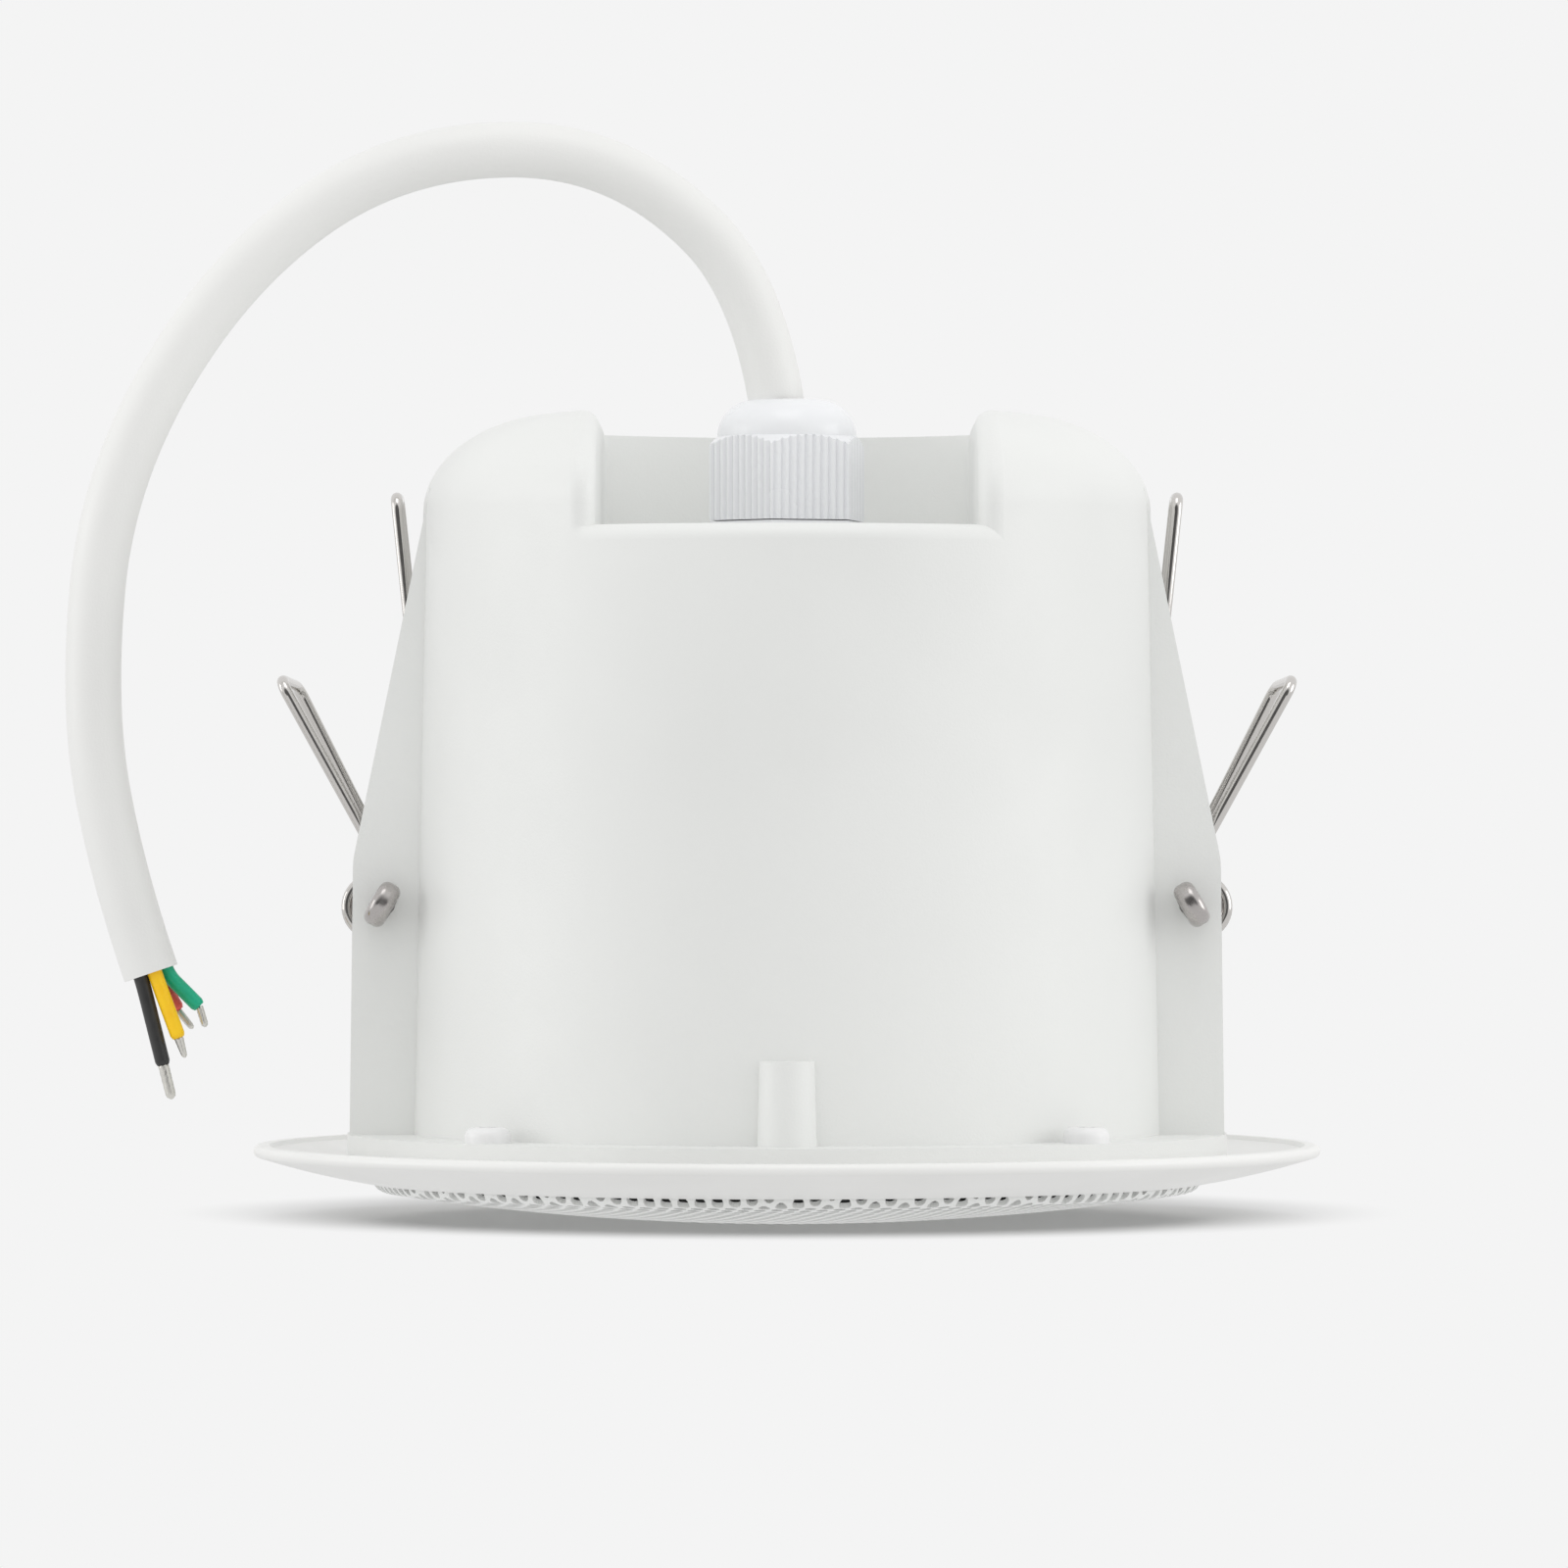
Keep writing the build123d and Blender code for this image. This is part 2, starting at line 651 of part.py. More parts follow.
with BuildPart() as gland_seal:
    with BuildSketch(Plane.XY.offset(gland_neck_top_z - gland_seal_l)):
        Circle(gland_bore_r - cable_fit)
        Circle(cable_r + cable_fit, mode=Mode.SUBTRACT)
    extrude(amount=gland_seal_l)
finish(gland_seal, "gland_seal")

nut_corner_r = hex_corner_r(gland_flats)
flute_pitch = nut_corner_r / gland_flutes_per_flat
with BuildPart() as gland_nut:
    with BuildSketch(Plane.XY.offset(nut_foot_z)):
        RegularPolygon(nut_corner_r, gland_sides, rotation=gland_turn)
        for flat in range(gland_sides):
            with Locations(Location((0, 0, 0), (0, 0, gland_turn + (flat + 0.5) * 360 / gland_sides))):
                with Locations((gland_flats / 2, 0)):
                    with GridLocations(0, flute_pitch, 1, gland_flutes_per_flat):
                        RegularPolygon(gland_flute_depth, 4, mode=Mode.SUBTRACT)
    extrude(amount=gland_nut_top_z - nut_foot_z)
    with BuildSketch(Plane.XZ):
        with BuildLine():
            dome_corner = gland_dome_top_z - gland_nut_top_z
            Polyline(
                (0, nut_foot_z),
                (nut_corner_r, nut_foot_z),
                (nut_corner_r, gland_nut_top_z - gland_nut_chamfer),
                (gland_dome_r, gland_nut_top_z),
                (0, gland_nut_top_z),
                (0, nut_foot_z),
            )
        make_face()
    revolve(axis=Axis.Z, mode=Mode.INTERSECT)
    with BuildSketch(Plane.XZ):
        with BuildLine():
            Line((0, gland_nut_top_z), (gland_dome_r, gland_nut_top_z))
            dome_edge = (gland_dome_r - dome_corner, gland_dome_top_z)
            RadiusArc((gland_dome_r, gland_nut_top_z), dome_edge, -dome_corner)
            Polyline(dome_edge, (0, gland_dome_top_z), (0, gland_nut_top_z))
        make_face()
    revolve(axis=Axis.Z)
    with BuildSketch(Plane.XY.offset(nut_foot_z)):
        Circle(gland_neck_r + gland_nut_gap)
    extrude(amount=gland_neck_top_z + gland_nut_gap - nut_foot_z, mode=Mode.SUBTRACT)
    with BuildSketch(Plane.XY.offset(nut_foot_z)):
        Circle(cable_r + gland_mouth_clearance)
    extrude(amount=gland_dome_top_z - nut_foot_z, mode=Mode.SUBTRACT)
finish(gland_nut, "gland_nut")

with BuildPart() as gland_locknut:
    with BuildSketch(Plane.XY.offset(floor_under_z - locknut_h)):
        RegularPolygon(hex_corner_r(locknut_flats), gland_sides)
        Circle(gland_thread_r + screw_bite_clearance, mode=Mode.SUBTRACT)
    extrude(amount=locknut_h)
finish(gland_locknut, "gland_locknut")


# Cable: straight runs joined by arcs as large as the runs allow
def route_radii(points):
    radii = []
    for before, here, after in zip(points, points[1:], points[2:]):
        run_in = Vector(*here) - Vector(*before)
        run_out = Vector(*after) - Vector(*here)
        turn = math.radians(run_in.get_angle(run_out))
        radii.append(0.45 * min(run_in.length, run_out.length) / math.tan(turn / 2))
    return radii


cable_radii = route_radii(cable_route)
print("cable radii", [round(radius, 1) for radius in cable_radii])
with BuildPart() as cable:
    with BuildLine() as cable_path:
        FilletPolyline(*cable_route, radius=cable_radii)
    cable_wire = cable_path.wires()[0]
    sweep(sections=wire_along(cable_wire, cable_r), path=cable_wire)
print("cable length", round(cable_wire.length, 1))
cable_section = math.pi * cable_r**2
print("cable volume over section times length", cable.part.volume / (cable_section * cable_wire.length))
finish(cable, "cable")

cut_way = (Vector(*cable_route[-1]) - Vector(*cable_route[-2])).normalized()
cut_plane = Plane(
    origin=cable_route[-1],
    x_dir=(-cut_way.Z, 0, cut_way.X),
    z_dir=cut_way,
)
core_ends = []
for name, place, fan, length, tinned in cores:
    start_x = core_ring_r * math.cos(math.radians(place))
    start_y = core_ring_r * math.sin(math.radians(place))
    run = length - core_lead_in
    run_x = run * math.sin(math.radians(fan))
    run_z = run * math.cos(math.radians(fan))
    with BuildPart() as core:
        with BuildLine(cut_plane) as core_path:
            FilletPolyline(
                (start_x, start_y, 0),
                (start_x, start_y, core_lead_in),
                (start_x + run_x, start_y, core_lead_in + run_z),
                radius=core_d,
            )
        core_wire = core_path.wires()[0]
        sweep(sections=wire_along(core_wire, core_d / 2), path=core_wire)
    finish(core, "core_" + name)
    core_ends.append((Plane(origin=core_wire @ 1, z_dir=core_wire % 1), tinned))

with BuildPart() as tinned_ends:
    for end_plane, tinned in core_ends:
        with BuildSketch(end_plane):
            Circle(tin_d / 2)
        extrude(amount=tinned)
finish(tinned_ends, "tinned_ends")


# Driver: gasket, basket, magnet system and moving parts
def flange_outline(z, bore_r):
    with BuildSketch(Plane.XY.offset(z)) as outline:
        Circle(flange_r)
        with PolarLocations(boss_ring_r, screw_count):
            Circle(ear_r)
        Circle(bore_r, mode=Mode.SUBTRACT)
        with PolarLocations(boss_ring_r, screw_count):
            Circle(driver_screw_r + screw_clearance, mode=Mode.SUBTRACT)
    return outline.sketch


with BuildPart() as driver_gasket:
    extrude(flange_outline(flange_top_z, basket_mouth_r + basket_t + screw_clearance), amount=gasket_t)
finish(driver_gasket, "driver_gasket")

basket_in_r = basket_step_r - basket_ledge_w
with BuildPart() as basket:
    extrude(flange_outline(flange_bottom_z, basket_mouth_r), amount=flange_t)
    with BuildSketch(Plane.XZ):
        with BuildLine():
            Polyline(
                (basket_mouth_r, flange_bottom_z),
                (basket_mouth_r + basket_t, flange_bottom_z),
                (basket_mouth_r + basket_t, flange_top_z),
                (basket_step_r + basket_t, basket_step_z + basket_t),
                (basket_in_r + basket_t, basket_step_z + basket_t),
                (basket_in_r + basket_t, basket_back_z),
                (plate_bore_r, basket_back_z),
                (plate_bore_r, basket_back_z - basket_t),
                (basket_in_r, basket_back_z - basket_t),
                (basket_in_r, basket_step_z),
                (basket_step_r, basket_step_z),
                (basket_mouth_r, flange_top_z),
                close=True,
            )
        make_face()
    revolve(axis=Axis.Z)
    with Locations((0, 0, (flange_top_z + basket_step_z) / 2)):
        window_ring_r = (basket_mouth_r + basket_step_r) / 2
        with PolarLocations(window_ring_r, window_count, start_angle=180 / window_count):
            Box(basket_mouth_r - basket_step_r + 2 * basket_t, window_w, window_h, mode=Mode.SUBTRACT)
finish(basket, "driver_basket")

with BuildPart() as top_plate:
    with BuildSketch(Plane.XY.offset(basket_back_z)):
        Circle(plate_r)
        Circle(plate_bore_r, mode=Mode.SUBTRACT)
    extrude(amount=plate_t)
finish(top_plate, "magnet_top_plate")

with BuildPart() as magnet:
    with BuildSketch(Plane.XY.offset(plate_top_z)):
        Circle(magnet_r)
        Circle(plate_bore_r + magnet_bore_step, mode=Mode.SUBTRACT)
    extrude(amount=magnet_t)
    chamfer(magnet.edges().filter_by(GeomType.CIRCLE).group_by(SortBy.RADIUS)[-1], magnet_chamfer)
finish(magnet, "magnet_ring")

with BuildPart() as yoke:
    with BuildSketch(Plane.XY.offset(magnet_top_z)):
        Circle(plate_r)
    extrude(amount=back_plate_t)
    with BuildSketch(Plane.XY.offset(basket_back_z)):
        Circle(pole_r)
    extrude(amount=magnet_top_z - basket_back_z)
finish(yoke, "magnet_yoke")

former_out_r = former_r + former_t
plate_middle_z = basket_back_z + plate_t / 2
with BuildPart() as voice_coil:
    with BuildSketch(Plane.XY.offset(former_foot_z)):
        Circle(former_out_r)
        Circle(former_r, mode=Mode.SUBTRACT)
    extrude(amount=plate_middle_z + winding_l / 2 - former_foot_z)
    with BuildSketch(Plane.XY.offset(plate_middle_z - winding_l / 2)):
        Circle(former_out_r + winding_t)
        Circle(former_r, mode=Mode.SUBTRACT)
    extrude(amount=winding_l)
finish(voice_coil, "voice_coil")

lip_in_r = cone_mouth_r
lip_out_r = cone_mouth_r + surround_lip_w
cone_neck_r = former_out_r + glue_gap
cone_lip_z = flange_bottom_z
cone_slope = (former_foot_z + cone_t - cone_lip_z) / (lip_in_r - cone_neck_r)
with BuildPart() as cone:
    with BuildSketch(Plane.XZ):
        with BuildLine():
            Polyline(
                (cone_neck_r, former_foot_z + cone_t),
                (cone_neck_r, former_foot_z + 2 * cone_t),
                (lip_in_r, cone_lip_z + cone_t),
                (lip_out_r, cone_lip_z + cone_t),
                (lip_out_r, cone_lip_z),
                (lip_in_r, cone_lip_z),
                close=True,
            )
        make_face()
    revolve(axis=Axis.Z)
finish(cone, "cone")

roll_r = (basket_mouth_r - surround_lip_w - lip_out_r) / 2
roll_x = lip_out_r + roll_r
with BuildPart() as surround:
    with BuildSketch(Plane.XZ):
        with BuildLine():
            Line((lip_in_r, cone_lip_z), (lip_out_r, cone_lip_z))
            roll_in = roll_r - surround_t
            lip_low_z = cone_lip_z - surround_t
            Line((lip_out_r, cone_lip_z), (lip_out_r + surround_t, lip_low_z))
            ThreePointArc(
                (lip_out_r + surround_t, lip_low_z),
                (roll_x, lip_low_z - roll_in),
                (roll_x + roll_in, lip_low_z),
            )
            Polyline(
                (roll_x + roll_in, lip_low_z),
                (roll_x + roll_r, cone_lip_z),
                (basket_mouth_r + basket_t, cone_lip_z),
                (basket_mouth_r + basket_t, lip_low_z),
                (roll_x + roll_r, lip_low_z),
            )
            ThreePointArc(
                (roll_x + roll_r, lip_low_z),
                (roll_x, lip_low_z - roll_r),
                (lip_out_r, lip_low_z),
            )
            Polyline((lip_out_r, lip_low_z), (lip_in_r, lip_low_z), (lip_in_r, cone_lip_z))
        make_face()
    revolve(axis=Axis.Z)
finish(surround, "cone_surround")

cap_rim_r = cone_neck_r + cap_rim_w
cap_rim_z = former_foot_z + cone_t - cone_slope * cap_rim_w - glue_gap
cap_ball_r = (cap_rim_r**2 + cap_rise**2) / (2 * cap_rise)
with BuildPart() as dust_cap:
    with BuildSketch(Plane.XZ):
        with BuildLine():
            RadiusArc((cap_rim_r, cap_rim_z - cap_t), (0, cap_rim_z - cap_t - cap_rise), cap_ball_r)
            Line((0, cap_rim_z - cap_t - cap_rise), (0, cap_rim_z - cap_rise))
            RadiusArc((0, cap_rim_z - cap_rise), (cap_rim_r, cap_rim_z), -cap_ball_r)
            Line((cap_rim_r, cap_rim_z), (cap_rim_r, cap_rim_z - cap_t))
        make_face()
    revolve(axis=Axis.Z)
finish(dust_cap, "dust_cap")

spider_in_r = former_out_r + glue_gap
spider_rim_r = basket_step_r - spider_rim_gap
wave_l = (basket_in_r - spider_in_r) / (2 * spider_waves)
with BuildPart() as spider:
    with BuildSketch(Plane.XZ):
        top_z = basket_step_z
        low_z = basket_step_z - spider_t
        top_line = []
        for i in range(2 * spider_waves + 1):
            top_line.append((spider_in_r + i * wave_l, top_z - spider_wave_h * (i % 2)))
        low_line = [(x, z - spider_t) for x, z in reversed(top_line)]
        with BuildLine():
            Polyline(*top_line, (spider_rim_r, top_z), (spider_rim_r, low_z), *low_line, close=True)
        make_face()
    revolve(axis=Axis.Z)
finish(spider, "spider")

with BuildPart() as terminal_strip:
    with BuildSketch(Plane.XY.offset(basket_step_z + basket_t)):
        with Locations((0, -basket_in_r - basket_t - screw_clearance)):
            Rectangle(strip_w, strip_l, align=(Align.CENTER, Align.MAX))
    extrude(amount=strip_t)
finish(terminal_strip, "terminal_strip")

# Line transformer: laminated core standing on the yoke, with its bobbin round the middle limb
window_x = (core_w - core_middle_w - 2 * core_limb_w) / 2
window_z = core_h - 2 * core_limb_w
core_middle_z = yoke_top_z + core_h / 2
with BuildPart() as transformer_core:
    with Locations((0, 0, core_middle_z)):
        Box(core_w, core_depth, core_h)
        with GridLocations(core_middle_w + window_x, 0, 2, 1):
            Box(window_x, core_depth, window_z, mode=Mode.SUBTRACT)
finish(transformer_core, "transformer_core")

with BuildPart() as transformer_bobbin:
    with Locations((0, 0, core_middle_z)):
        Box(
            core_middle_w + 2 * (window_x - bobbin_clearance),
            core_depth + 2 * bobbin_overhang,
            window_z - 2 * bobbin_clearance,
        )
        Box(
            core_middle_w + 2 * bobbin_clearance,
            core_depth + 2 * bobbin_clearance,
            core_h,
            mode=Mode.SUBTRACT,
        )
finish(transformer_bobbin, "transformer_bobbin")

bobbin_top_z = core_middle_z + window_z / 2 - bobbin_clearance
bobbin_end_y = core_depth / 2 + bobbin_overhang / 2 + bobbin_clearance / 2
with BuildPart() as transformer_leads:
    for x_way, y_way in ((1, 1), (1, -1), (-1, 1), (-1, -1)):
        with BuildLine() as lead_path:
            FilletPolyline(
                (x_way * lead_ring, y_way * lead_ring, cable_route[0][2]),
                (x_way * lead_ring, y_way * lead_ring, lead_turn_z),
                (x_way * 2 * lead_ring, y_way * bobbin_end_y, lead_turn_z - lead_d),
                (x_way * 2 * lead_ring, y_way * bobbin_end_y, bobbin_top_z),
                radius=lead_d,
            )
        sweep(sections=wire_along(lead_path.wires()[0], lead_d / 2), path=lead_path.wires()[0])
finish(transformer_leads, "transformer_leads")

lead_drop_y = -magnet_r - lead_d
with BuildPart() as driver_leads:
    for side in (-1, 1):
        with BuildLine() as lead_path:
            FilletPolyline(
                (side * strip_w / 4, -core_depth / 2 - bobbin_overhang, core_middle_z),
                (side * strip_w / 4, lead_drop_y, core_middle_z),
                (side * strip_w / 4, lead_drop_y, basket_step_z + basket_t + strip_t),
                radius=4 * lead_d,
            )
        sweep(sections=wire_along(lead_path.wires()[0], lead_d / 2), path=lead_path.wires()[0])
finish(driver_leads, "driver_leads")
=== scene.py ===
"""The looks of an in-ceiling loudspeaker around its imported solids. Metres, in the solids' own frame."""

import json
import math

import bmesh
import bpy
from mathutils import Matrix, Vector


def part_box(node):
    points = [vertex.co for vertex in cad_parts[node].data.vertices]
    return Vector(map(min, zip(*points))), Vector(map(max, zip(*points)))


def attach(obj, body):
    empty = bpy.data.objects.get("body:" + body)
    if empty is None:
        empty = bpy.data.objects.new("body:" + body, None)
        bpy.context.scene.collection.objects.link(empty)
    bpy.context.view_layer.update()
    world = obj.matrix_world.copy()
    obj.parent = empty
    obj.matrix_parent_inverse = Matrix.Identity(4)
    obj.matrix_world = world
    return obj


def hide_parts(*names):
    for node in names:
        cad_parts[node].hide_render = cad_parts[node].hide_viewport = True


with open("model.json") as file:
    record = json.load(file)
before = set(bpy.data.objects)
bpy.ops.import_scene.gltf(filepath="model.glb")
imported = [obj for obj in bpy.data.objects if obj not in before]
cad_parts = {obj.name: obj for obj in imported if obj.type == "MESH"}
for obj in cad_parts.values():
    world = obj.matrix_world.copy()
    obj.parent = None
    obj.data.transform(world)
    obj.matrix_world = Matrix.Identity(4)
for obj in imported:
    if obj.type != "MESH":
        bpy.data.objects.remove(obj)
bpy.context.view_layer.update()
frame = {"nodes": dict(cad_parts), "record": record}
nodes = frame["nodes"]
MM = 0.001

# Camera: a level view of the front, with its level line a little below the middle of the picture
PICTURE_PX = 1600
PIXEL = 0.1656 * MM
LEVEL_PX = (803, 835)
CAMERA_BACK = 9000 * PIXEL
CAMERA_HEIGHT = 55 * MM
SENSOR = 36.0

# Stage
BACKDROP = (0.905, 0.905, 0.905)
FLOOR_SIZE = 3.0
# Lit colour of the floor near the object, darker than the backdrop: a painted shadow round it, on top of
# the shadow the light casts
FLOOR_SHADOW_COLOUR = (0.66, 0.66, 0.66)
FLOOR_ROUGHNESS = 0.9
FLOOR_GLOW = 0.88
# Where the floor shows this painted shadow and the cast one: how far behind the object its middle lies,
# where it starts to fade into the backdrop and where it is gone
SHADOW_BACK = 35 * MM
SHADOW_FULL_R = 72 * MM
SHADOW_END_R = 108 * MM
AMBIENT = 0.92
# Unlit side of the studio: the way to its middle, the angles where it starts and is full, its level
UNLIT_WAY = (-0.1, -0.99, 0.05)
UNLIT_SPREAD = (48, 30)
UNLIT_LEVEL = 0.12

# Square lamps, in metres, each with its azimuth from the camera's side to the right, elevation and power
SOFTBOX_DISTANCE = 1.3
SOFTBOX_SIZE = 0.7
SOFTBOXES = [
    ("right_softbox", 80, 14, 2.6),
    ("left_softbox", -85, 12, 2.4),
    ("top_softbox", 0, 70, 1.7),
]

# Cable, along the points of its solid, and its cores, which are a little thicker than theirs
CABLE_D = 9.4 * MM
CABLE_ROUND_STEPS = 10
CABLE_RUN_STEPS = 24
CABLE_ROUTE = [
    (0.0, 0.0, 0.1004),
    (0.0, 0.0, 0.1396),
    (-0.0275, -0.001, 0.1679),
    (-0.0648, -0.004, 0.1677),
    (-0.0933, -0.0085, 0.1475),
    (-0.1138, -0.013, 0.1124),
    (-0.117, -0.0155, 0.0742),
    (-0.1121, -0.016, 0.0461),
    (-0.1063, -0.016, 0.0291),
]
CORE_D = 2.5 * MM
CORE_RING_R = 2.6 * MM
CORE_LEAD_IN = 1.2 * MM
CORE_TUCK = 0.8 * MM
CORE_MIDWAY = 0.4
CORE_CUT_ROUND = 0.5 * MM
CORE_CUT_SHARE = 0.78
CORE_ROUND_STEPS = 8
CORE_RUN_STEPS = 12
# Each core: name, angle round the end face, sideways fan, length
CORES = [
    ("black", 130.0, -4.8, 15.2 * MM),
    ("yellow", 72.0, 1.5, 11.7 * MM),
    ("red", -70.0, 11.0, 7.4 * MM),
    ("green", 0.0, 26.0, 8.6 * MM),
]
# Each tinned end: length, radius at the core, radius at the tip, bend from the core's own line
TINNED = {
    "black": (5.9 * MM, 0.9 * MM, 0.85 * MM, 0.0),
    "yellow": (3.5 * MM, 0.8 * MM, 0.45 * MM, -2.6),
    "red": (4.0 * MM, 0.65 * MM, 0.5 * MM, 9.4),
    "green": (3.6 * MM, 0.62 * MM, 0.58 * MM, -28.0),
}
# Strands of a tinned end: how deep their furrows are, which swell leaves the radius as it is, where
# along it the tip starts, and the share of the radius that the tip ends in
STRANDS = 7
STRAND_TURNS = 0.7
STRAND_RELIEF = 0.1
STRAND_MEAN = 0.6
STRAND_RINGS = 14
STRAND_SIDES = 42
TIP_FROM = 0.8
TIP_END = 0.25

# Grille: pressed from perforated sheet, so its holes follow the sheet over the edge and up the wall
GRILLE_R = 70.0 * MM
GRILLE_EDGE_DROP = 7.6 * MM
GRILLE_DOME_R = 450.0 * MM
GRILLE_DOME_H = GRILLE_EDGE_DROP + GRILLE_DOME_R - math.sqrt(GRILLE_DOME_R**2 - GRILLE_R**2)
GRILLE_EDGE_R = 2.4 * MM
GRILLE_WALL_TOP = -5.2 * MM
GRILLE_SHEET_T = 0.9 * MM
DOME_STEPS = 60
EDGE_STEPS = 12
HOLE_R = 0.98 * MM
HOLE_PITCH = 2.778 * MM
ROWS_TURNED = -14.0
CELL_SIDES = 12
WELD_DISTANCE = 0.01 * HOLE_PITCH
# The press draws the sheet out near its edge, and the holes there a little more
DRAWN_FROM = 62.0 * MM
DRAWN_OUT = 1.4
EDGE_HOLE_STRETCH = 1.1
# Black sheet behind the holes, painted shade that makes them look dark; it leaves out the last points of
# the sheet's profile
SHADE_SHEET_T = 0.2 * MM
SHADE_SHEET_STEPS = 96
SHADE_SHEET_LEAVES_OUT = 3

# Clip springs
PIN_X = 67.7 * MM
PIN_Z = 40.6 * MM
WIRE_R = 1.0 * MM
WIRE_ROUND_STEPS = 5
BEND_STEPS = 6
COIL_R = 4.8 * MM
COIL_X = PIN_X + 1.6 * MM
COIL_Z = PIN_Z - 0.5 * MM
COIL_LEG_Y = 4.75 * MM
COIL_PITCH = 1.9 * MM
HALF_COIL_TURNS = 2.3
COIL_STEPS = 110
BAIL_KINK = (63.2 * MM, 84.0 * MM)
BAIL_TIP = (65.8 * MM, 109.0 * MM)
BAIL_KINK_REACH = 4.0 * MM
BAIL_TIP_REACH = 2.6 * MM


def srgb(*levels):
    """Linear colour of three 0 to 255 screen levels."""
    linear = []
    for level in levels:
        share = level / 255
        linear.append(share / 12.92 if share <= 0.04045 else ((share + 0.055) / 1.055) ** 2.4)
    return (*linear, 1.0)


# Materials
class Finish:
    """A material with a principled shader and the few textures that the finishes below share."""

    def __init__(self, name, colour, roughness, **sockets):
        self.material = bpy.data.materials.new(name)
        self.material.use_nodes = True
        self.tree = self.material.node_tree
        self.shader = self.tree.nodes["Principled BSDF"]
        self.shader.inputs["Base Color"].default_value = colour
        self.shader.inputs["Roughness"].default_value = roughness
        for socket, value in sockets.items():
            self.shader.inputs[socket.replace("_", " ")].default_value = value
        self.place = self.tree.nodes.new("ShaderNodeTexCoord").outputs["Object"]

    def noise(self, scale, detail=3.0):
        texture = self.tree.nodes.new("ShaderNodeTexNoise")
        texture.inputs["Scale"].default_value = scale
        texture.inputs["Detail"].default_value = detail
        self.tree.links.new(self.place, texture.inputs["Vector"])
        return texture.outputs["Fac"]

    def ramp(self, factor, low, high, low_at=0.35, high_at=0.65):
        """Colours or levels between two ends, spread over the middle of a texture."""
        ramp = self.tree.nodes.new("ShaderNodeValToRGB")
        ends = ramp.color_ramp.elements
        ends[0].position, ends[1].position = low_at, high_at
        ends[0].color = low if hasattr(low, "__len__") else (low, low, low, 1)
        ends[1].color = high if hasattr(high, "__len__") else (high, high, high, 1)
        self.tree.links.new(factor, ramp.inputs["Fac"])
        return ramp.outputs["Color"]

    def drift(self, low, high, scale, **spread):
        """Colour that wanders between two tones."""
        tone = self.ramp(self.noise(scale), low, high, **spread)
        self.tree.links.new(tone, self.shader.inputs["Base Color"])
        return self

    def gloss(self, low, high, scale):
        """Roughness that wanders between two levels."""
        level = self.ramp(self.noise(scale), low, high)
        self.tree.links.new(level, self.shader.inputs["Roughness"])
        return self

    def grain(self, scale, height, detail=3.0):
        """Fine unevenness of the surface, in metres."""
        bump = self.tree.nodes.new("ShaderNodeBump")
        bump.inputs["Distance"].default_value = height
        self.tree.links.new(self.noise(scale, detail), bump.inputs["Height"])
        self.tree.links.new(bump.outputs["Normal"], self.shader.inputs["Normal"])
        return self


def moulded(name, light, dark, roughness, grain=0.00003):
    """Satin moulded plastic: a faint drift of tone, uneven gloss and a fine spark-eroded grain."""
    finish = Finish(name, light, roughness, Specular_IOR_Level=0.45)
    finish.drift(dark, light, scale=18, low_at=0.3, high_at=0.6)
    finish.gloss(roughness - 0.06, roughness + 0.08, scale=60)
    return finish.grain(scale=2600, height=grain).material


def wire_metal(name, colour, roughness):
    """Bright drawn metal, a little uneven in its gloss."""
    finish = Finish(name, colour, roughness, Metallic=1.0)
    finish.gloss(roughness * 0.7, roughness * 1.4, scale=500)
    return finish.grain(scale=1500, height=0.000002, detail=2.0).material


def insulation(name, colour, dark, roughness=0.38):
    """Smooth coloured sleeve of a core."""
    finish = Finish(name, colour, roughness, Specular_IOR_Level=0.5)
    finish.drift(dark, colour, scale=300)
    finish.gloss(roughness - 0.08, roughness + 0.1, scale=400)
    return finish.grain(scale=1800, height=0.00002).material


def rolled(name, colour, dark, roughness, metallic=0.0, scale=250):
    """Plain inner pieces: a mottled colour with an uneven surface."""
    finish = Finish(name, colour, roughness, Metallic=metallic)
    finish.drift(dark, colour, scale)
    finish.gloss(roughness - 0.1, roughness + 0.1, scale=2 * scale)
    return finish.grain(scale=6 * scale, height=0.00004).material


